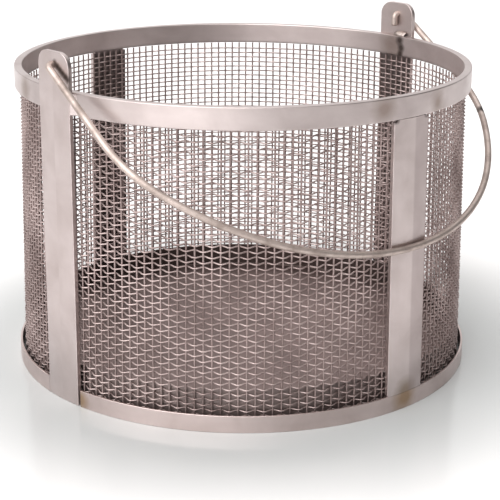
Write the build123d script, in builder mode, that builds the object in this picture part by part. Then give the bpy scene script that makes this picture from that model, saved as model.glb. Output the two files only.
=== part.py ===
from build123d import *
from math import acos, asin, atan2, cos, degrees, pi, radians, sin
import os

os.makedirs("parts", exist_ok=True)

# Woven wire basket strainer with a swinging bail handle.
# Millimetres. The origin is the centre of the footprint, +Z is up, and the bail's hinge lies along X.
# The two eared straps stand at -X and +X, the two plain straps at -Y and +Y.

# Driving dimensions
height = 200.0  # floor to the top edge of the mouth ring
mouth_r = 150.0  # outside of the mouth ring
foot_r = 153.0  # outside of the foot band: the wall widens a little on the way down

ring_thick = 5.0  # flat bar, rolled the easy way
ring_height = 14.0
ring_ease = 0.7  # radius of the ground edges

band_thick = 1.5
band_height = 11.0

strap_width = 30.0
strap_thick = 3.0
strap_ease = 0.4
ear_top = 223.0
ear_corner = 9.0
weld_gap = 1.2  # root gap that each butt weld fills

upright_wire_r = 0.6  # cloth wire: the uprights are the heavier of the two
hoop_wire_r = 0.45
cloth_half = 1.6  # middle of the cloth to the straps it lies against, with its crimp
upright_count = 176
hoop_pitch = 3.45

rim_top = 25.5  # inner strip at the cloth's foot, and the sheet floor welded into it
rim_low = 8.0
rim_thick = 1.2
floor_thick = 1.5

bail_r = 2.2  # bail wire, 4.4 mm
hole_r = 2.28
hinge_z = 215.0
bail_half_width = 156.5  # hinge run to leg centre line, half the bail's inside span plus a wire radius
bail_reach = 188.5  # hinge to the middle of the crown
leg_length = 65.0
shoulder_r = 83.0
elbow_r = 3.3
tail_x = 147.25  # centre line of the hooked end, just inside the ear
tail_bend = 2.8
tail_drop = 9.2  # hinge to the tip of the hooked end
rest_gap = 0.3  # bail wire to the front strap it leans on

# Sizes that follow
ring_low = height - ring_height
half_strap = degrees(asin(strap_width / 2 / mouth_r))
gap_angle = degrees(weld_gap / foot_r)


def wall_r(z):
    """Outside radius of the plain straps: mouth_r under the ring, foot_r on the band."""
    return mouth_r + (foot_r - mouth_r) * (ring_low - z) / (ring_low - band_height)


def cloth_r(z):
    """Middle of the wall cloth, which lies against the inside of the plain straps."""
    return wall_r(z) - strap_thick - cloth_half


def turned(azimuth):
    """The XZ plane turned about Z, so that its x axis points outwards at that azimuth."""
    return Plane.XZ.rotated((0, 0, azimuth))


def export(part, label):
    part.part.label = label
    export_step(part.part, f"parts/{label}.step")


# Mouth ring: one length of flat bar rolled into a hoop and closed with a single butt weld.
butt_azimuth = 163.0
with BuildPart() as top_ring:
    with BuildSketch(turned(butt_azimuth + gap_angle / 2)):
        with Locations((mouth_r - ring_thick / 2, height - ring_height / 2)):
            RectangleRounded(ring_thick, ring_height, ring_ease)
    revolve(axis=Axis.Z, revolution_arc=360 - gap_angle)
export(top_ring, "top_ring")

# The butt weld of the mouth ring, ground flush all round.
with BuildPart() as ring_butt_weld:
    with BuildSketch(turned(butt_azimuth - gap_angle / 2)):
        with Locations((mouth_r - ring_thick / 2, height - ring_height / 2)):
            RectangleRounded(ring_thick, ring_height, ring_ease)
    revolve(axis=Axis.Z, revolution_arc=gap_angle)
export(ring_butt_weld, "ring_butt_weld")


# Foot band: thin strip in two half hoops that butt against the edges of the eared straps.
# One end, at the left ear strap's front edge, was cut short and left open.
def band(start, end):
    with BuildPart() as half:
        with BuildSketch(turned(start)):
            with Locations((foot_r - band_thick / 2, band_height / 2)):
                RectangleRounded(band_thick, band_height, 0.35)
        revolve(axis=Axis.Z, revolution_arc=end - start)
    return half


seam = half_strap + gap_angle
open_end = degrees(2.2 / foot_r)
band_front = band(180 + half_strap + open_end, 360 - seam)
export(band_front, "band_front")
band_back = band(seam, 180 - seam)
export(band_back, "band_back")

# Three welds that close the other ends of the band against the eared straps, ground flush.
with BuildPart() as band_end_welds:
    for start in (half_strap, 180 - seam, 360 - seam):
        with BuildSketch(turned(start)):
            with Locations((foot_r - band_thick / 2, band_height / 2)):
                RectangleRounded(band_thick, band_height, 0.35)
        revolve(axis=Axis.Z, revolution_arc=gap_angle)
export(band_end_welds, "band_end_welds")


# Eared straps: flat bar outside the mouth ring, from the floor to an ear that stands over the mouth.
def ear_strap(azimuth):
    with BuildPart() as strap:
        with BuildSketch(turned(azimuth - half_strap)):
            with Locations((foot_r - strap_thick / 2, ear_top / 2)):
                Rectangle(strap_thick, ear_top)
        revolve(axis=Axis.Z, revolution_arc=2 * half_strap)
        corners = strap.edges().filter_by(GeomType.LINE).group_by(Axis.Z)[-1]
        fillet(corners, radius=ear_corner)
        outer_rim = strap.faces().filter_by(GeomType.CYLINDER).sort_by(SortBy.AREA)[-2:].edges()
        fillet(outer_rim, radius=strap_ease)
        with Locations(Pos(0, 0, hinge_z) * Rot(0, 0, azimuth) * Pos(foot_r - strap_thick / 2, 0, 0)):
            Cylinder(hole_r, 3 * strap_thick, rotation=(0, 90, 0), mode=Mode.SUBTRACT)
    return strap


ear_strap_right = ear_strap(0)
export(ear_strap_right, "ear_strap_right")
ear_strap_left = ear_strap(180)
export(ear_strap_left, "ear_strap_left")


# Plain straps: flat bar between the mouth ring and the foot band, flush with both outside.
strap_foot = band_height + weld_gap
strap_head = ring_low - weld_gap


def plain_strap(azimuth):
    with BuildPart() as strap:
        with BuildSketch(turned(azimuth - half_strap)):
            Polygon(
                (wall_r(strap_foot) - strap_thick, strap_foot),
                (wall_r(strap_foot), strap_foot),
                (wall_r(strap_head), strap_head),
                (wall_r(strap_head) - strap_thick, strap_head),
                align=None,
            )
        revolve(axis=Axis.Z, revolution_arc=2 * half_strap)
        long_edges = strap.edges().filter_by(GeomType.LINE).filter_by(lambda e: e.length > strap_width)
        fillet(long_edges, radius=strap_ease)
    return strap


plain_strap_front = plain_strap(270)
export(plain_strap_front, "plain_strap_front")
plain_strap_back = plain_strap(90)
export(plain_strap_back, "plain_strap_back")

# Welds between the plain straps and the mouth ring. They stop short of the strap's corners.
with BuildPart() as strap_top_welds:
    for azimuth in (90, 270):
        with BuildSketch(turned(azimuth - 0.86 * half_strap)):
            with Locations((mouth_r - strap_thick / 2, ring_low - weld_gap / 2)):
                Rectangle(strap_thick, weld_gap)
        revolve(axis=Axis.Z, revolution_arc=1.72 * half_strap)
export(strap_top_welds, "strap_top_welds")

# Welds between the plain straps and the top edge of the foot band, ground flush outside.
with BuildPart() as strap_foot_welds:
    for azimuth in (90, 270):
        with BuildSketch(turned(azimuth - half_strap)):
            with Locations((foot_r - band_thick / 2, band_height + weld_gap / 2)):
                Rectangle(band_thick, weld_gap)
        revolve(axis=Axis.Z, revolution_arc=2 * half_strap)
export(strap_foot_welds, "strap_foot_welds")

# Fillet welds down both edges of each ear strap, where it lies on the outside of the mouth ring.
toe = degrees(4.0 / mouth_r)
skin_r = mouth_r + 0.02
with BuildPart() as ear_side_welds:
    for azimuth in (0, 180):
        for side in (-1, 1):
            edge = radians(azimuth + side * (half_strap + 0.01))
            tip = radians(azimuth + side * (half_strap + toe))
            with BuildSketch(Plane.XY.offset(ring_low + 0.7)):
                Polygon(
                    (skin_r * cos(edge), skin_r * sin(edge)),
                    ((foot_r - 0.4) * cos(edge), (foot_r - 0.4) * sin(edge)),
                    (skin_r * cos(tip), skin_r * sin(tip)),
                    align=None,
                )
            extrude(amount=ring_height - 1.4)
export(ear_side_welds, "ear_side_welds")


# Weld bead on top of the mouth ring, along part of the ear's inner face.
def ear_bead(azimuth):
    with BuildPart() as bead:
        with BuildSketch(turned(azimuth)):
            with BuildLine():
                Polyline((mouth_r - 3.6, height), (mouth_r, height), (mouth_r, height + 3.2))
                RadiusArc((mouth_r, height + 3.2), (mouth_r - 3.6, height), 6)
            make_face()
        revolve(axis=Axis.Z, revolution_arc=degrees(11.0 / mouth_r))
    return bead


ear_bead_right = ear_bead(-4.0)
export(ear_bead_right, "ear_bead_right")
ear_bead_left = ear_bead(180 - 0.5)
export(ear_bead_left, "ear_bead_left")

# Wall cloth, upright wires. Each leans outwards with the straps, on the inside of the hoops.
upright_low = 0.6
lean = atan2(cloth_r(0) - cloth_r(ring_low), ring_low)
foot_point = (cloth_r(upright_low) - 0.02 - upright_wire_r, 0, upright_low)
with BuildPart() as one_upright:
    with BuildSketch(Plane(origin=foot_point, x_dir=(0, 1, 0), z_dir=(-sin(lean), 0, cos(lean)))):
        Circle(upright_wire_r)
    extrude(amount=(ring_low - 0.3 - upright_low) / cos(lean))
with BuildPart() as wall_upright_wires:
    with PolarLocations(0, upright_count):
        add(one_upright.part)
export(wall_upright_wires, "wall_upright_wires")

# Wall cloth, hoop wires, on the outside of the uprights and touching them. Each is a ring of round
# wire, drawn with twelve sides: fifty-three true tori would make a needlessly heavy mesh.
hoop_low = 2.2
hoop_count = int((ring_low - 1.5 - hoop_low) / hoop_pitch) + 1
with BuildPart() as wall_hoop_wires:
    with BuildSketch(Plane.XZ):
        for step in range(hoop_count):
            z = hoop_low + step * hoop_pitch
            with Locations((cloth_r(z) + 0.02 + hoop_wire_r, z)):
                RegularPolygon(hoop_wire_r, 12)
    revolve(axis=Axis.Z)
export(wall_hoop_wires, "wall_hoop_wires")

# Inner strip at the foot of the wall cloth: rolled into a hoop and butt welded, it holds the cloth
# round and takes the edge of the floor.
rim_r = cloth_r(rim_top) - 1.55
rim_seam = 200.0
rim_gap = degrees(weld_gap / rim_r)


def rim_stretch(start, sweep_angle):
    with BuildPart() as stretch:
        with BuildSketch(turned(start)):
            with Locations((rim_r - rim_thick / 2, (rim_low + rim_top) / 2)):
                RectangleRounded(rim_thick, rim_top - rim_low, 0.3)
        revolve(axis=Axis.Z, revolution_arc=sweep_angle)
    return stretch


foot_rim = rim_stretch(rim_seam + rim_gap / 2, 360 - rim_gap)
export(foot_rim, "foot_rim")
rim_butt_weld = rim_stretch(rim_seam - rim_gap / 2, rim_gap)
export(rim_butt_weld, "rim_butt_weld")

# Floor: a plain sheet disc, set just inside the strip's lower edge.
plate_r = rim_r - rim_thick - 0.9
with BuildPart() as floor_plate:
    with Locations((0, 0, rim_low + floor_thick / 2)):
        Cylinder(plate_r, floor_thick)
export(floor_plate, "floor_plate")

# Seam weld that joins the disc's edge to the strip all the way round.
with BuildPart() as floor_seam_weld:
    with BuildSketch(Plane.XZ):
        Polygon(
            (plate_r, rim_low),
            (rim_r - rim_thick, rim_low + 0.3),
            (rim_r - rim_thick, rim_low + floor_thick + 1.2),
            (plate_r, rim_low + floor_thick),
            align=None,
        )
    revolve(axis=Axis.Z)
export(floor_seam_weld, "floor_seam_weld")

# Bail handle: one round wire, bent as a wide U with a flatter crown. Each end turns inwards through
# its ear and hooks down on the far side. It hangs in front, leaning on the front strap.
drop = acos((wall_r(105) + rest_gap + bail_r) / bail_reach)


def fall(x, along):
    """A point of the bail's own plane: x along the hinge, and a distance down from it."""
    return (x, -along * cos(drop), hinge_z - along * sin(drop))


across = bail_half_width - shoulder_r
below = bail_reach - leg_length
crown_r = (across**2 + below**2 - shoulder_r**2) / (2 * (below - shoulder_r))
crown_half = atan2(across, crown_r - below)
shoulder_mid = (pi / 2 - crown_half) / 2
diagonal = cos(pi / 4)


def bail_side(side):
    """The points of one side, from the tip of the hooked end to the end of its shoulder."""
    hook_r = tail_bend
    x_in = side * tail_x
    x_out = side * bail_half_width
    centre_in = x_in + side * hook_r
    centre_out = x_out - side * elbow_r
    return [
        (x_in, 0, hinge_z - tail_drop + bail_r * 0.4),
        (x_in, 0, hinge_z - hook_r),
        (centre_in - side * hook_r * diagonal, 0, hinge_z - hook_r + hook_r * diagonal),
        (centre_in, 0, hinge_z),
        (centre_out, 0, hinge_z),
        fall(centre_out + side * elbow_r * diagonal, elbow_r * (1 - diagonal)),
        fall(x_out, elbow_r),
        fall(x_out, leg_length),
        fall(
            side * (across + shoulder_r * cos(shoulder_mid)),
            leg_length + shoulder_r * sin(shoulder_mid),
        ),
        fall(
            side * (across + shoulder_r * sin(crown_half)),
            leg_length + shoulder_r * cos(crown_half),
        ),
    ]


left = bail_side(-1)
right = bail_side(1)
with BuildPart() as bail_handle:
    with BuildLine() as route:
        for ends in (left, right):
            Line(ends[0], ends[1])
            ThreePointArc(ends[1], ends[2], ends[3])
            Line(ends[3], ends[4])
            ThreePointArc(ends[4], ends[5], ends[6])
            Line(ends[6], ends[7])
            ThreePointArc(ends[7], ends[8], ends[9])
        ThreePointArc(left[9], fall(0, bail_reach), right[9])
    with BuildSketch(Plane(origin=left[0], x_dir=(1, 0, 0), z_dir=(0, 0, 1))):
        Circle(bail_r)
    sweep(path=route.wires()[0])
    tips = bail_handle.faces().filter_by(GeomType.PLANE).edges()
    fillet(tips, radius=1.1)
export(bail_handle, "bail_handle")
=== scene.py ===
import math

import bpy
import numpy as np
from mathutils import Matrix, Vector


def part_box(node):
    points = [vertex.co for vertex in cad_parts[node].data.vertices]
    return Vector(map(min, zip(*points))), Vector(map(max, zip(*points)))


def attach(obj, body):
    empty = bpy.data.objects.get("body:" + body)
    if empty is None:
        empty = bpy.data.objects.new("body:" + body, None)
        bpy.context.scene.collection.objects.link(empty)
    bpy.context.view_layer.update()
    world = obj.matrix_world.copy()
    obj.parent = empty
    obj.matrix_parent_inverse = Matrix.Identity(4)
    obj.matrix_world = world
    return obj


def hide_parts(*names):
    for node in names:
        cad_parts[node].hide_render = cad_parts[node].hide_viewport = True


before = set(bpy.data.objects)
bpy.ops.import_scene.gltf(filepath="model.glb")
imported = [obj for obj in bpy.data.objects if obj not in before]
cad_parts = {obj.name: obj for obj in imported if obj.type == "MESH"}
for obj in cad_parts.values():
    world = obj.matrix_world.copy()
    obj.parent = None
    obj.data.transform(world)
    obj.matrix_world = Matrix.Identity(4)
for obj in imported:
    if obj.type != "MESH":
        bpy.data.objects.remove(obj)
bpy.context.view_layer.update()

# =============================================================================================
# Floor plate, inner strip and their welds. The floor is a disc of cold-rolled stainless sheet;
# the strip is the same sheet rolled into a hoop. It is welded to the disc's edge all the way
# round and stands inside the foot of the wall cloth.
# =============================================================================================


def hex_colour(text):
    """An sRGB hex value as the linear colour that the shaders work in."""
    parts = [int(text[i : i + 2], 16) / 255 for i in (0, 2, 4)]
    return [p / 12.92 if p <= 0.04045 else ((p + 0.055) / 1.055) ** 2.4 for p in parts] + [1]


def add_node(tree, kind, settings=None, links=()):
    """Adds a node, fills its fields and sockets, and joins (socket, output) pairs to it."""
    node = tree.nodes.new(kind)
    for field, value in (settings or {}).items():
        if isinstance(field, int) or field in node.inputs:
            node.inputs[field].default_value = value
        else:
            setattr(node, field, value)
    for socket, output in links:
        tree.links.new(output, node.inputs[socket])
    return node


def new_steel(name):
    """An empty stainless material and its shader. A metal keeps the default IOR."""
    steel = bpy.data.materials.new(name)
    steel.use_nodes = True
    shader = steel.node_tree.nodes["Principled BSDF"]
    shader.inputs["Metallic"].default_value = 1
    return steel, steel.node_tree, shader


def finish_with(piece, steel):
    """Gives a piece one material in place of any it came with."""
    piece.data.materials.clear()
    piece.data.materials.append(steel)


GRAIN_WIDTH = 0.0009  # rolling lines, drawn wider than the real 0.1 mm so that they show


def rolled_sheet(name, dull_tone, bright_tone):
    """Cold-rolled 2B stainless sheet: an even, slightly milky sheen with faint rolling lines, scuffed by
    what lies in the basket, with painted shade towards the corner and on faces turned to the axis."""
    steel, tree, shader = new_steel(name)
    place = add_node(tree, "ShaderNodeTexCoord")
    stretch = add_node(
        tree, "ShaderNodeMapping", {"Scale": (1 / GRAIN_WIDTH, 30, 30)}, [("Vector", place.outputs["Object"])]
    )
    rolling = add_node(tree, "ShaderNodeTexNoise", {"Scale": 1.0, "Detail": 3}, [("Vector", stretch.outputs[0])])
    scuff = add_node(
        tree,
        "ShaderNodeTexNoise",
        {"Scale": 1 / 0.045, "Detail": 5, "Roughness": 0.6},
        [("Vector", place.outputs["Object"])],
    )
    tone = add_node(tree, "ShaderNodeValToRGB", {}, [("Fac", scuff.outputs["Fac"])])
    tone.color_ramp.elements[0].position = 0.3
    tone.color_ramp.elements[0].color = hex_colour(dull_tone)
    tone.color_ramp.elements[1].position = 0.7
    tone.color_ramp.elements[1].color = hex_colour(bright_tone)
    gloss = add_node(
        tree,
        "ShaderNodeMapRange",
        {"From Min": 0.3, "From Max": 0.7, "To Min": 0.46, "To Max": 0.62},
        [("Value", scuff.outputs["Fac"])],
    )
    lines = add_node(
        tree, "ShaderNodeBump", {"Strength": 0.12, "Distance": 0.0002}, [("Height", rolling.outputs["Fac"])]
    )
    span = add_node(
        tree, "ShaderNodeVectorMath", {"operation": "LENGTH"}, [(0, place.outputs["Object"])]
    )
    # painted shade: the sheet darkens towards the corner at its outer edge
    grime = add_node(
        tree,
        "ShaderNodeMapRange",
        {"interpolation_type": "SMOOTHSTEP", "From Min": 0.118, "From Max": 0.146, "To Min": 0.0, "To Max": 0.45},
        [("Value", span.outputs["Value"])],
    )
    soiled = add_node(
        tree,
        "ShaderNodeMix",
        {"data_type": "RGBA", "blend_type": "MIX", 7: hex_colour("524643")},
        [(0, grime.outputs["Result"]), (6, tone.outputs["Color"])],
    )
    shape = add_node(tree, "ShaderNodeNewGeometry")
    inward = add_node(
        tree,
        "ShaderNodeVectorMath",
        {"operation": "DOT_PRODUCT"},
        [(0, place.outputs["Object"]), (1, shape.outputs["Normal"])],
    )
    # painted shade: faces turned to the axis are darkened
    inside = add_node(
        tree,
        "ShaderNodeMapRange",
        {"From Min": -0.11, "From Max": -0.06, "To Min": 0.8, "To Max": 0.0},
        [("Value", inward.outputs["Value"])],
    )
    stained = add_node(
        tree,
        "ShaderNodeMix",
        {"data_type": "RGBA", "blend_type": "MIX", 7: hex_colour("3A302D")},
        [(0, inside.outputs["Result"]), (6, soiled.outputs[2])],
    )
    tree.links.new(stained.outputs[2], shader.inputs["Base Color"])
    tree.links.new(gloss.outputs["Result"], shader.inputs["Roughness"])
    tree.links.new(lines.outputs["Normal"], shader.inputs["Normal"])
    return steel


finish_with(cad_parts["floor_plate"], rolled_sheet("cold_rolled_stainless_sheet", "82726F", "9A8986"))
finish_with(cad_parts["foot_rim"], rolled_sheet("mill_finish_stainless_strip", "A89A97", "BDAFAC"))

# Weld metal left as welded: rough, frosted by the shield gas, straw to blue-grey from the heat.
BEAD_RIPPLE = 0.0011
weld_steel, tree, shader = new_steel("stainless_weld_metal")
place = add_node(tree, "ShaderNodeTexCoord")
cloud = add_node(
    tree,
    "ShaderNodeTexNoise",
    {"Scale": 1 / 0.006, "Detail": 6, "Roughness": 0.65},
    [("Vector", place.outputs["Object"])],
)
tint = add_node(tree, "ShaderNodeValToRGB", {}, [("Fac", cloud.outputs["Fac"])])
tint.color_ramp.elements[0].position = 0.32
tint.color_ramp.elements[0].color = hex_colour("867A76")
tint.color_ramp.elements[1].position = 0.68
tint.color_ramp.elements[1].color = hex_colour("DDD4D0")
straw = tint.color_ramp.elements.new(0.5)
straw.color = hex_colour("B3A69F")
grit = add_node(
    tree,
    "ShaderNodeTexNoise",
    {"Scale": 1 / 0.0009, "Detail": 4, "Roughness": 0.6},
    [("Vector", place.outputs["Object"])],
)
pitted = add_node(
    tree, "ShaderNodeBump", {"Strength": 0.5, "Distance": 0.0003}, [("Height", grit.outputs["Fac"])]
)
frost = add_node(
    tree,
    "ShaderNodeMapRange",
    {"From Min": 0.3, "From Max": 0.7, "To Min": 0.38, "To Max": 0.62},
    [("Value", cloud.outputs["Fac"])],
)
tree.links.new(tint.outputs["Color"], shader.inputs["Base Color"])
tree.links.new(frost.outputs["Result"], shader.inputs["Roughness"])
tree.links.new(pitted.outputs["Normal"], shader.inputs["Normal"])


def link_piece(name, points, faces, smooth=True):
    """Makes a mesh piece from an array of points and a list of faces, and shows it."""
    mesh = bpy.data.meshes.new(name)
    mesh.from_pydata([tuple(p) for p in points], [], faces)
    mesh.validate()
    if smooth:
        mesh.shade_smooth()
    piece = bpy.data.objects.new(name, mesh)
    bpy.context.scene.collection.objects.link(piece)
    return piece


def bead(name, path, side, up, width, height, ripple, closed=False):
    """A weld bead laid along a path: a low round back with ripples that follow the torch.
    side and up are unit vectors at each path point; the foot of the bead lies on the path."""
    count = len(path)
    run = np.concatenate([[0], np.cumsum(np.linalg.norm(np.diff(path, axis=0), axis=1))])
    arch = np.linspace(0, math.pi, 9)
    rows = []
    for k in range(count):
        # each ripple is a crescent: its crown is a little ahead of its sides
        end = 1.0
        if not closed:
            end = min(1, 0.35 + 0.65 * min(run[k], run[-1] - run[k]) / (0.8 * width))
        row = []
        for a in arch:
            wave = 0.5 + 0.5 * math.sin(2 * math.pi * (run[k] - 0.3 * width * math.sin(a)) / ripple)
            swell = end * (1 + 0.13 * (wave - 0.5) + 0.05 * math.sin(900 * run[k] + 1.3))
            row.append(
                path[k]
                + side[k] * math.cos(a) * width / 2 * (0.9 + 0.1 * end) * (1 + 0.05 * (wave - 0.5))
                + up[k] * math.sin(a) * height * swell
            )
        rows.append(row)
    points = np.array(rows).reshape(-1, 3)
    n = len(arch)
    faces = []
    last = count if closed else count - 1
    for k in range(last):
        here, there = k * n, ((k + 1) % count) * n
        for j in range(n - 1):
            faces.append((here + j, here + j + 1, there + j + 1, there + j))
        faces.append((here + n - 1, here, there, there + n - 1))
    if not closed:
        faces.append(tuple(range(n))[::-1])
        faces.append(tuple((count - 1) * n + j for j in range(n)))
    return link_piece(name, points, faces)


rim_low, rim_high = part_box("foot_rim")
seam_low, seam_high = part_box("floor_seam_weld")
plate_low, plate_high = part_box("floor_plate")
plate_r, seam_r = plate_high.x, seam_high.x
turn = np.linspace(0, 2 * math.pi, 1600, endpoint=False)
outward = np.stack([np.cos(turn), np.sin(turn), 0 * turn], axis=-1)
upward = np.tile([0.0, 0.0, 1.0], (len(turn), 1))
lean = math.radians(38)
seam = bead(
    "floor_seam_bead",
    outward * (seam_r - 0.0004) + upward * (plate_high.z + 0.0002),
    outward * math.cos(lean) + upward * math.sin(lean),
    upward * math.cos(lean) - outward * math.sin(lean),
    width=0.0026,
    height=0.0008,
    ripple=BEAD_RIPPLE * 1.6,
    closed=True,
)
# brushed clean when new; the seam's dark tones are painted shade, as dark as the shaded corner it sits in
finish_with(seam, rolled_sheet("weld_seam_painted_shade", "5C524F", "7A6E6A"))
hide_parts("floor_seam_weld")
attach(seam, "basket")
finish_with(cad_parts["rim_butt_weld"], weld_steel)

# =============================================================================================
# Wall cloth. Plain-woven stainless wire, rolled into a tube: heavier upright wires that stay
# nearly straight, and hoop wires crimped over and under them. It stands inside the straps.
# =============================================================================================
UPRIGHTS = 176
HOOP_PITCH = 0.00345
UPRIGHT_WIRE = 0.00060  # radius
HOOP_WIRE = 0.00047
UPRIGHT_CRIMP = 0.00006
HOOP_CRIMP = 0.00108
HOOP_LEAN = 0.00022  # each bend also drops this far where it comes outside

uprights_low, uprights_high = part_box("wall_upright_wires")
hoops_low, hoops_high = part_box("wall_hoop_wires")
hoop_first = hoops_low.z + HOOP_WIRE
hoop_total = 1 + round((hoops_high.z - hoops_low.z - 2 * HOOP_WIRE) / HOOP_PITCH)
cloth_foot_r = hoops_high.x - 2 * HOOP_WIRE - 0.00002  # the lowest hoop is the widest
cloth_head_r = cloth_foot_r - 3 / 175 * (uprights_high.z - hoop_first)


def cloth_radius(height):
    """Middle of the cloth at a height: the tube is a little wider at the foot."""
    share = (height - hoop_first) / (uprights_high.z - hoop_first)
    return cloth_foot_r + (cloth_head_r - cloth_foot_r) * share


def wire_cloth(name, centres, outward, radius, sides=6):
    """One mesh of many wires. centres and outward are wires x points x 3; outward is across the cloth."""
    along = np.gradient(centres, axis=1)
    along /= np.linalg.norm(along, axis=2, keepdims=True)
    across = np.cross(along, outward)
    across /= np.linalg.norm(across, axis=2, keepdims=True)
    lift = np.cross(across, along)
    turn = np.arange(sides) * 2 * math.pi / sides
    ring = (
        np.cos(turn)[None, None, :, None] * lift[:, :, None, :]
        + np.sin(turn)[None, None, :, None] * across[:, :, None, :]
    )
    points = centres[:, :, None, :] + radius * ring
    wires, length = centres.shape[:2]
    index = np.arange(wires * length * sides).reshape(wires, length, sides)
    here, there = index[:, :-1], index[:, 1:]
    walls = np.stack(
        [here, there, np.roll(there, -1, axis=2), np.roll(here, -1, axis=2)], axis=-1
    ).reshape(-1, 4)
    ends = np.concatenate([index[:, 0, ::-1], index[:, -1, :]])
    corners = np.concatenate([walls.ravel(), ends.ravel()]).astype(np.int32)
    starts = np.concatenate([np.arange(len(walls)) * 4, len(walls) * 4 + np.arange(len(ends)) * sides])
    mesh = bpy.data.meshes.new(name)
    mesh.vertices.add(points.size // 3)
    mesh.vertices.foreach_set("co", points.astype(np.float32).ravel())
    mesh.loops.add(len(corners))
    mesh.loops.foreach_set("vertex_index", corners)
    mesh.polygons.add(len(starts))
    mesh.polygons.foreach_set("loop_start", starts.astype(np.int32))
    mesh.update(calc_edges=True)
    mesh.validate()
    mesh.shade_smooth()
    piece = bpy.data.objects.new(name, mesh)
    bpy.context.scene.collection.objects.link(piece)
    return piece


def upright_lines(first, last):
    """Centre lines of the uprights by number. Each goes inside one hoop and outside the next."""
    number = np.arange(first, last)[:, None]
    height = hoop_first + np.arange(-1, 2 * hoop_total + 1) * HOOP_PITCH / 2
    height = height[(height > uprights_low.z) & (height < uprights_high.z)]
    height = np.concatenate([[uprights_low.z], height, [uprights_high.z]])[None, :]
    azimuth = number * 2 * math.pi / UPRIGHTS + 0 * height
    sway = 0.00012 * np.sin(0.7 * number + height / 0.031) / cloth_foot_r
    azimuth = azimuth + sway
    radius = cloth_radius(height) + UPRIGHT_CRIMP * np.cos(math.pi * ((height - hoop_first) / HOOP_PITCH + number))
    outward = np.stack([np.cos(azimuth), np.sin(azimuth), 0 * azimuth], axis=-1)
    centres = outward * radius[..., None] + np.stack([0 * azimuth, 0 * azimuth, height + 0 * azimuth], axis=-1)
    return centres, outward


def hoop_lines(first, last):
    """Centre lines of every hoop over the stretch that crosses those uprights."""
    step = np.arange(4 * (last - first) + 1)[None, :] / 4 + first
    number = np.arange(hoop_total)[:, None]
    azimuth = step * 2 * math.pi / UPRIGHTS + 0 * number
    height = hoop_first + number * HOOP_PITCH + 0.00010 * np.sin(1.9 * number + 9 * azimuth)
    wave = np.cos(math.pi * (step + number))
    wave = np.sign(wave) * np.abs(wave) ** 0.85  # held flat over each upright, straight between
    radius = cloth_radius(height) - HOOP_CRIMP * wave
    height = height + HOOP_LEAN * wave
    outward = np.stack([np.cos(azimuth), np.sin(azimuth), 0 * azimuth], axis=-1)
    centres = outward * radius[..., None] + np.stack([0 * azimuth, 0 * azimuth, height], axis=-1)
    return centres, outward


def drawn_wire(name, dull_tone, bright_tone):
    """Drawn stainless wire, pickled after weaving: tone and roughness vary in blotches and fine die
    marks, with a slow change of tone from wire to wire."""
    steel, tree, shader = new_steel(name)
    place = add_node(tree, "ShaderNodeTexCoord")
    patch = add_node(
        tree, "ShaderNodeTexNoise", {"Scale": 1 / 0.03, "Detail": 3}, [("Vector", place.outputs["Object"])]
    )
    die_marks = add_node(
        tree,
        "ShaderNodeTexNoise",
        {"Scale": 1 / 0.0011, "Detail": 3, "Roughness": 0.6},
        [("Vector", place.outputs["Object"])],
    )
    both = add_node(
        tree,
        "ShaderNodeMath",
        {"operation": "MULTIPLY_ADD", 1: 0.45},
        [(0, die_marks.outputs["Fac"]), (2, patch.outputs["Fac"])],
    )
    shade = add_node(tree, "ShaderNodeValToRGB", {}, [("Fac", both.outputs[0])])
    shade.color_ramp.elements[0].position = 0.52
    shade.color_ramp.elements[0].color = hex_colour(dull_tone)
    shade.color_ramp.elements[1].position = 0.92
    shade.color_ramp.elements[1].color = hex_colour(bright_tone)
    dull = add_node(
        tree,
        "ShaderNodeMapRange",
        {"From Min": 0.35, "From Max": 0.65, "To Min": 0.48, "To Max": 0.62},
        [("Value", die_marks.outputs["Fac"])],
    )
    tree.links.new(shade.outputs["Color"], shader.inputs["Base Color"])
    tree.links.new(dull.outputs["Result"], shader.inputs["Roughness"])
    return steel


# the same drawn wire in two tones: painted shade darkens the uprights and painted light brightens the hoops, whose
# tops catch the light from above
upright_steel = drawn_wire("drawn_stainless_upright_wire", "8B7B78", "BAA9A6")
hoop_steel = drawn_wire("drawn_stainless_hoop_wire", "9C8A87", "D0C0BD")

quarter = UPRIGHTS // 4
for number, side in enumerate(("right_back", "back_left", "left_front", "front_right")):
    first = number * quarter
    for kind, lines, wire, node, steel in (
        ("uprights", upright_lines(first, first + quarter), UPRIGHT_WIRE, "wall_upright_wires", upright_steel),
        ("hoops", hoop_lines(first, first + quarter), HOOP_WIRE, "wall_hoop_wires", hoop_steel),
    ):
        piece = wire_cloth(f"cloth_{kind}_{side}", *lines, wire)
        finish_with(piece, steel)
        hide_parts(node)
        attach(piece, "basket")

# =============================================================================================
# Straps, mouth ring and foot band. Stainless flat bar and strip, cut and rolled, welded into one
# frame, then the joints ground flush and the whole linished with a belt along each bar.
# =============================================================================================


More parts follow.
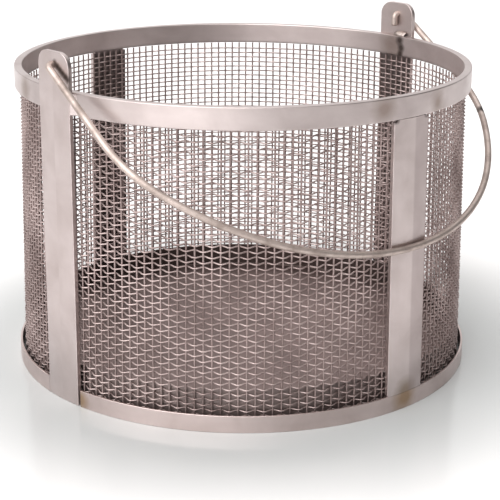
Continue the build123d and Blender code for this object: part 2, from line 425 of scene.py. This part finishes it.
def linished_bar(name, long_way, light, mid, tint, smooth, rough, skin_depth, heat, soot=(), half_pass=False):
    """Belt-ground stainless: a soft sheen drawn out across the fine lines that the belt leaves,
    with blotches where pickling took unevenly. heat lists (point, reach) of welds, which leave
    the metal straw-brown around them. The dark marks list (point, reach) of dark patches, some of
    them painted shadow and painted shade. Below the ring, faces turned to the axis get painted
    shade, and one switch paints shade on the right third of the front strap. long_way is 'round'
    for rolled bar and 'up' for straps."""
    steel, tree, shader = new_steel(name)
    place = add_node(tree, "ShaderNodeTexCoord")
    split = add_node(tree, "ShaderNodeSeparateXYZ", {}, [("Vector", place.outputs["Object"])])
    angle = add_node(
        tree,
        "ShaderNodeMath",
        {"operation": "ARCTAN2"},
        [(0, split.outputs["Y"]), (1, split.outputs["X"])],
    )
    arc = add_node(tree, "ShaderNodeMath", {"operation": "MULTIPLY", 1: 0.15}, [(0, angle.outputs[0])])
    depth = add_node(tree, "ShaderNodeVectorMath", {"operation": "LENGTH"}, [(0, place.outputs["Object"])])
    flat = add_node(
        tree,
        "ShaderNodeCombineXYZ",
        {},
        [("X", arc.outputs[0]), ("Y", split.outputs["Z"]), ("Z", depth.outputs["Value"])],
    )
    # belt lines about 0.25 mm apart and 30 mm long
    fine, long = 1 / 0.00035, 1 / 0.03
    grain_scale = (long, fine, fine / 4) if long_way == "round" else (fine, long, fine / 4)
    drawn = add_node(tree, "ShaderNodeMapping", {"Scale": grain_scale}, [("Vector", flat.outputs[0])])
    belt = add_node(
        tree, "ShaderNodeTexNoise", {"Scale": 1.0, "Detail": 4, "Roughness": 0.6}, [("Vector", drawn.outputs[0])]
    )
    blotch = add_node(
        tree,
        "ShaderNodeTexNoise",
        {"Scale": 1 / 0.028, "Detail": 5, "Roughness": 0.55, "Distortion": 0.4},
        [("Vector", flat.outputs[0])],
    )
    pass_marks = add_node(
        tree,
        "ShaderNodeMapping",
        {"Scale": (1 / 0.09, 1 / 0.011, 1) if long_way == "round" else (1 / 0.016, 1 / 0.05, 1)},
        [("Vector", flat.outputs[0])],
    )
    passes = add_node(
        tree, "ShaderNodeTexNoise", {"Scale": 1.0, "Detail": 2}, [("Vector", pass_marks.outputs[0])]
    )
    tone = add_node(
        tree,
        "ShaderNodeMath",
        {"operation": "MULTIPLY_ADD", 1: 0.5},
        [(0, passes.outputs["Fac"]), (2, blotch.outputs["Fac"])],
    )
    colour = add_node(tree, "ShaderNodeValToRGB", {}, [("Fac", tone.outputs[0])])
    colour.color_ramp.elements[0].position = 0.45
    colour.color_ramp.elements[0].color = hex_colour(mid)
    colour.color_ramp.elements[1].position = 1.0
    colour.color_ramp.elements[1].color = hex_colour(light)
    last_colour = colour.outputs["Color"]
    marks = [(point, reach, tint) for point, reach in heat]
    # dark patches: those on the straps are painted shadow and painted shade
    marks += [(point, reach, "3E332E") for point, reach in soot]
    for point, reach, mark_tone in marks:
        gap = add_node(
            tree, "ShaderNodeVectorMath", {"operation": "DISTANCE", 1: point}, [(0, place.outputs["Object"])]
        )
        ragged = add_node(
            tree,
            "ShaderNodeMath",
            {"operation": "MULTIPLY_ADD", 1: reach * 0.9},
            [(0, blotch.outputs["Fac"]), (2, gap.outputs["Value"])],
        )
        near = add_node(
            tree,
            "ShaderNodeMapRange",
            {"From Min": reach * 0.75, "From Max": reach * 1.6, "To Min": 0.85, "To Max": 0.0},
            [("Value", ragged.outputs[0])],
        )
        burnt = add_node(
            tree,
            "ShaderNodeMix",
            {"data_type": "RGBA", "blend_type": "MIX", 7: hex_colour(mark_tone)},
            [(0, near.outputs["Result"]), (6, last_colour)],
        )
        last_colour = burnt.outputs[2]
    # painted shade: below the ring, faces turned to the axis are darkened, inside the basket
    # where shade falls
    shape = add_node(tree, "ShaderNodeNewGeometry")
    inward = add_node(
        tree,
        "ShaderNodeVectorMath",
        {"operation": "DOT_PRODUCT"},
        [(0, place.outputs["Object"]), (1, shape.outputs["Normal"])],
    )
    skin = add_node(
        tree,
        "ShaderNodeMapRange",
        {"From Min": -0.11, "From Max": -0.06, "To Min": skin_depth, "To Max": 0.0},
        [("Value", inward.outputs["Value"])],
    )
    parts = add_node(tree, "ShaderNodeSeparateXYZ", {}, [("Vector", place.outputs["Object"])])
    below = add_node(
        tree,
        "ShaderNodeMapRange",
        {"From Min": 0.184, "From Max": 0.188, "To Min": 1.0, "To Max": 0.0},
        [("Value", parts.outputs["Z"])],
    )
    covered = add_node(
        tree, "ShaderNodeMath", {"operation": "MULTIPLY"}, [(0, skin.outputs["Result"]), (1, below.outputs["Result"])]
    )
    mill = add_node(
        tree,
        "ShaderNodeMix",
        {"data_type": "RGBA", "blend_type": "MIX", 7: hex_colour("3F3633")},
        [(0, covered.outputs[0]), (6, last_colour)],
    )
    last_colour = mill.outputs[2]
    if half_pass:
        # painted shade darkens the right third of the front strap
        right_third = add_node(
            tree,
            "ShaderNodeMapRange",
            {"From Min": 0.0024, "From Max": 0.0040, "To Min": 0.0, "To Max": 0.30},
            [("Value", parts.outputs["X"])],
        )
        on_front = add_node(
            tree,
            "ShaderNodeMapRange",
            {"From Min": -0.146, "From Max": -0.142, "To Min": 1.0, "To Max": 0.0},
            [("Value", parts.outputs["Y"])],
        )
        missed = add_node(
            tree,
            "ShaderNodeMath",
            {"operation": "MULTIPLY"},
            [(0, right_third.outputs["Result"]), (1, on_front.outputs["Result"])],
        )
        dull = add_node(
            tree,
            "ShaderNodeMix",
            {"data_type": "RGBA", "blend_type": "MIX", 7: hex_colour("8F7F80")},
            [(0, missed.outputs[0]), (6, last_colour)],
        )
        last_colour = dull.outputs[2]
    sheen = add_node(
        tree,
        "ShaderNodeMapRange",
        {"From Min": 0.50, "From Max": 1.0, "To Min": rough, "To Max": smooth},
        [("Value", tone.outputs[0])],
    )
    ragged_sheen = add_node(
        tree,
        "ShaderNodeMath",
        {"operation": "MULTIPLY_ADD", 1: 0.10},
        [(0, belt.outputs["Fac"]), (2, sheen.outputs["Result"])],
    )
    scratches = add_node(
        tree, "ShaderNodeBump", {"Strength": 0.10, "Distance": 0.0001}, [("Height", belt.outputs["Fac"])]
    )
    hammered = add_node(
        tree,
        "ShaderNodeBump",
        {"Strength": 0.12, "Distance": 0.0004},
        [("Height", passes.outputs["Fac"]), ("Normal", scratches.outputs["Normal"])],
    )
    tree.links.new(last_colour, shader.inputs["Base Color"])
    tree.links.new(ragged_sheen.outputs[0], shader.inputs["Roughness"])
    tree.links.new(hammered.outputs["Normal"], shader.inputs["Normal"])
    return steel


ring_low, ring_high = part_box("top_ring")
band_low, band_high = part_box("band_front")
ear_low, ear_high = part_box("ear_strap_right")
ring_r, foot_r = ring_high.x, ear_high.x
bead_low, bead_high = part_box("ear_bead_right")
left_bead_low, left_bead_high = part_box("ear_bead_left")


def round_point(azimuth, radius, height):
    """A point by its direction round the basket, in degrees."""
    a = math.radians(azimuth)
    return (radius * math.cos(a), radius * math.sin(a), height)


ring_mid = (ring_low.z + ring_high.z) / 2
ring_steel = linished_bar(
    "linished_rolled_bar",
    "round",
    light="CDC2C0",
    mid="B9ADAB",
    tint="9A8A82",
    smooth=0.26,
    rough=0.40,
    skin_depth=0.75,
    heat=[
        (round_point(0, ring_r, ring_mid), 0.012),
        (round_point(180, ring_r, ring_mid), 0.010),
        (round_point(163, ring_r, ring_mid), 0.009),
        (round_point(261, ring_r, ring_mid + 0.001), 0.0095),
        (round_point(279.5, ring_r, ring_mid - 0.002), 0.0090),
    ],
    # three dark patches down the ring's inner face beside the right ear
    soot=[
        (round_point(-3.2, ring_r - 0.005, ring_mid + 0.0045), 0.0042),
        (round_point(-3.8, ring_r - 0.005, ring_mid - 0.0010), 0.0036),
        (round_point(-3.4, ring_r - 0.005, ring_mid - 0.0055), 0.0030),
    ],
)
for name in ("top_ring", "ring_butt_weld"):
    finish_with(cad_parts[name], ring_steel)

# painted shadow: a dark streak on the left ear, just above where the bail's leg lies, for the leg's shadow
hinge_z = 0.215
lean = math.radians(35.3)
rubbed = []
for run in (1.5, 4.5, 7.5, 10.5, 13.5, 16.5):
    y = -run * math.cos(lean) - 2.9 * math.sin(lean)
    z = -run * math.sin(lean) + 2.9 * math.cos(lean)
    rubbed.append(((-foot_r, y / 1000, hinge_z + z / 1000), 0.0024))
# under the ring the front strap is only welded along its middle, and its open corners are darkened as painted shade
open_corners = [((x, -ring_r, ring_low.z - 0.0004), 0.0021) for x in (-0.0148, -0.0128, 0.0128, 0.0148)]
strap_steel = linished_bar(
    "linished_flat_bar",
    "up",
    light="D4C8C6",
    mid="C0B3B0",
    tint="998777",
    smooth=0.28,
    rough=0.44,
    skin_depth=0.75,
    heat=[
        (round_point(270, foot_r, band_high.z), 0.010),
        (round_point(90, foot_r, band_high.z), 0.010),
    ],
    # painted shadow of the bail on the left ear and painted shade in the front strap's corners
    soot=rubbed + open_corners,
    # painted shade on the right third of the front strap
    half_pass=True,
)
for name in ("ear_strap_left", "ear_strap_right", "plain_strap_front", "plain_strap_back"):
    finish_with(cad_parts[name], strap_steel)
for name in ("strap_top_welds", "strap_foot_welds", "ear_side_welds", "band_end_welds"):
    finish_with(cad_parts[name], strap_steel)

band_steel = linished_bar(
    "linished_strip",
    "round",
    light="D8C9C6",
    mid="BFAFAB",
    tint="A68A6C",
    smooth=0.28,
    rough=0.42,
    skin_depth=0.75,
    heat=[
        (round_point(186.6, foot_r, 0.005), 0.007),
        (round_point(270, foot_r, 0.008), 0.011),
        (round_point(354, foot_r, 0.006), 0.010),
        (round_point(90, foot_r, 0.008), 0.011),
    ],
)
for name in ("band_front", "band_back"):
    finish_with(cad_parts[name], band_steel)

# =============================================================================================
# Ear beads. A short fillet weld on top of the mouth ring along each ear's inner face, left as
# welded: a row of overlapping ripples, thicker at the end where the torch was lifted.
# =============================================================================================
for name, low, high, side_sign in (
    ("ear_bead_right", bead_low, bead_high, 1),
    ("ear_bead_left", left_bead_low, left_bead_high, -1),
):
    span = np.linspace(low.y + 0.0004, high.y - 0.0004, 90)
    facing = np.arcsin(span / (ring_r - 0.0012))
    out = np.stack([side_sign * np.cos(facing), np.sin(facing), 0 * facing], axis=-1)
    rise = np.tile([0.0, 0.0, 1.0], (len(span), 1))
    tilt = math.radians(41)
    piece = bead(
        name + "_rippled",
        out * (ring_r - 0.0019) + rise * (ring_high.z + 0.0012),
        out * math.cos(tilt) + rise * math.sin(tilt),
        rise * math.cos(tilt) - out * math.sin(tilt),
        width=0.0046,
        height=0.0017,
        ripple=BEAD_RIPPLE,
    )
    finish_with(piece, weld_steel)
    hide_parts(name)
    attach(piece, "basket")

# =============================================================================================
# Bail handle. One length of bright-drawn stainless wire, bent cold, its ends turned through the
# ears and hooked down. It swings freely.
# =============================================================================================
# Bright-drawn wire has a smoother skin than ground bar, with faint lines along it from the die
# and dull rubs where it knocks on the basket.
bail_steel, tree, shader = new_steel("bright_drawn_stainless_wire")
place = add_node(tree, "ShaderNodeTexCoord")
rubs = add_node(
    tree,
    "ShaderNodeTexNoise",
    {"Scale": 1 / 0.012, "Detail": 5, "Roughness": 0.6},
    [("Vector", place.outputs["Object"])],
)
skin = add_node(
    tree,
    "ShaderNodeTexNoise",
    {"Scale": 1 / 0.0012, "Detail": 3},
    [("Vector", place.outputs["Object"])],
)
bright = add_node(tree, "ShaderNodeValToRGB", {}, [("Fac", rubs.outputs["Fac"])])
bright.color_ramp.elements[0].position = 0.34
bright.color_ramp.elements[0].color = hex_colour("AA9C95")
bright.color_ramp.elements[1].position = 0.56
bright.color_ramp.elements[1].color = hex_colour("CABCB5")
polish = add_node(
    tree,
    "ShaderNodeMapRange",
    {"From Min": 0.35, "From Max": 0.6, "To Min": 0.62, "To Max": 0.50},
    [("Value", rubs.outputs["Fac"])],
)
die_lines = add_node(
    tree, "ShaderNodeBump", {"Strength": 0.12, "Distance": 0.00015}, [("Height", skin.outputs["Fac"])]
)
# a black nick crosses the right leg, where something hard has struck it
gap = add_node(
    tree, "ShaderNodeVectorMath", {"operation": "DISTANCE", 1: (0.1493, -0.0822, 0.1575)}, [(0, place.outputs["Object"])]
)
nick = add_node(
    tree, "ShaderNodeMapRange", {"From Min": 0.0022, "From Max": 0.0040, "To Min": 0.9, "To Max": 0.0}, [("Value", gap.outputs["Value"])]
)
marked = add_node(
    tree,
    "ShaderNodeMix",
    {"data_type": "RGBA", "blend_type": "MIX", 7: hex_colour("2A2624")},
    [(0, nick.outputs["Result"]), (6, bright.outputs["Color"])],
)
tree.links.new(marked.outputs[2], shader.inputs["Base Color"])
tree.links.new(polish.outputs["Result"], shader.inputs["Roughness"])
tree.links.new(die_lines.outputs["Normal"], shader.inputs["Normal"])
finish_with(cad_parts["bail_handle"], bail_steel)

# =============================================================================================
# Studio: a pale glossy table with a painted grey shadow pool round the basket, white surroundings,
# one large soft light from the left and front, and a camera a little above the mouth.
# =============================================================================================
mesh = bpy.data.meshes.new("studio_table")
mesh.from_pydata([(-4, -4, 0), (4, -4, 0), (4, 4, 0), (-4, 4, 0)], [], [(0, 1, 2, 3)])
table = bpy.data.objects.new("studio_table", mesh)
bpy.context.scene.collection.objects.link(table)
white_acrylic = bpy.data.materials.new("white_acrylic_table")
white_acrylic.use_nodes = True
tree = white_acrylic.node_tree
shader = tree.nodes["Principled BSDF"]
place = add_node(tree, "ShaderNodeTexCoord")
# painted shadow: a grey pool in the table's colour round the basket, fading to white by 0.30 m from its axis
away = add_node(
    tree, "ShaderNodeVectorMath", {"operation": "DISTANCE", 1: (0.0, 0.0, 0.0)}, [(0, place.outputs["Object"])]
)
spread = add_node(
    tree,
    "ShaderNodeMapRange",
    {"interpolation_type": "SMOOTHSTEP", "From Min": 0.165, "From Max": 0.30},
    [("Value", away.outputs["Value"])],
)
pale = add_node(tree, "ShaderNodeValToRGB", {}, [("Fac", spread.outputs["Result"])])
pale.color_ramp.elements[0].color = hex_colour("BEC1C1")
pale.color_ramp.elements[1].color = hex_colour("FBFBFB")
tree.links.new(pale.outputs["Color"], shader.inputs["Base Color"])
shader.inputs["Roughness"].default_value = 0.16
table.data.materials.append(white_acrylic)



def camera_way(turn, lift):
    """A direction from the basket, turn degrees to the right of the camera and lift above level."""
    a, e = math.radians(-42.19 + turn), math.radians(lift)
    return (math.sin(a) * math.cos(e), -math.cos(a) * math.cos(e), math.sin(e))


# The surroundings give the light: a big soft source to the left and in front, a weaker one
# overhead, walls that fall off to the right, and the lit backdrop behind. The camera itself sees a plain white backdrop.
world = bpy.data.worlds.new("white_studio")
bpy.context.scene.world = world
world.use_nodes = True
tree = world.node_tree
way = add_node(tree, "ShaderNodeTexCoord")
glow = None
for direction, edge, core, strength in (
    (camera_way(-34, 38), 50, 14, 3.1),
    (camera_way(0, 89), 60, 20, 0.85),
    (camera_way(-70, 0), 150, 30, 0.42),
    (camera_way(180, 18), 62, 20, 0.85),
):
    facing = add_node(
        tree, "ShaderNodeVectorMath", {"operation": "DOT_PRODUCT", 1: direction}, [(0, way.outputs["Generated"])]
    )
    lobe = add_node(
        tree,
        "ShaderNodeMapRange",
        {
            "interpolation_type": "SMOOTHSTEP",
            "From Min": math.cos(math.radians(edge)),
            "From Max": math.cos(math.radians(core)),
            "To Min": 0.0,
            "To Max": strength,
        },
        [("Value", facing.outputs["Value"])],
    )
    if glow is None:
        glow = add_node(tree, "ShaderNodeMath", {"operation": "ADD", 1: 0.07}, [(0, lobe.outputs["Result"])])
    else:
        glow = add_node(
            tree, "ShaderNodeMath", {"operation": "ADD"}, [(0, lobe.outputs["Result"]), (1, glow.outputs[0])]
        )
surround = tree.nodes["Background"]
surround.inputs["Color"].default_value = hex_colour("FBF9F8")
tree.links.new(glow.outputs[0], surround.inputs["Strength"])
backdrop = add_node(tree, "ShaderNodeBackground", {"Color": (1, 1, 1, 1), "Strength": 1.0})
path = add_node(tree, "ShaderNodeLightPath")
seen = add_node(
    tree,
    "ShaderNodeMixShader",
    {},
    [(0, path.outputs["Is Camera Ray"]), (1, surround.outputs[0]), (2, backdrop.outputs[0])],
)
tree.links.new(seen.outputs[0], tree.nodes["World Output"].inputs["Surface"])

# The camera stands 0.975 m from the basket's axis and 0.38 m above the table.
lens_data = bpy.data.cameras.new("camera")
camera = bpy.data.objects.new("camera", lens_data)
bpy.context.scene.collection.objects.link(camera)
stand = math.radians(-42.19)
tip, roll = 0.3102, 0.0058
ahead = Vector((-math.sin(stand) * math.cos(tip), math.cos(stand) * math.cos(tip), -math.sin(tip)))
right = ahead.cross(Vector((0, 0, 1))).normalized()
up = right.cross(ahead)
right, up = right * math.cos(roll) + up * math.sin(roll), up * math.cos(roll) - right * math.sin(roll)
camera.matrix_world = Matrix.Translation((0.975 * math.sin(stand), -0.975 * math.cos(stand), 0.37986)) @ Matrix(
    (
        (right.x, up.x, -ahead.x, 0),
        (right.y, up.y, -ahead.y, 0),
        (right.z, up.z, -ahead.z, 0),
        (0, 0, 0, 1),
    )
)
lens_data.sensor_width = 36
lens_data.lens = 107.08
lens_data.shift_x = 0.0158
lens_data.clip_start = 0.05
bpy.context.scene.camera = camera
bpy.context.scene.view_settings.view_transform = "Standard"
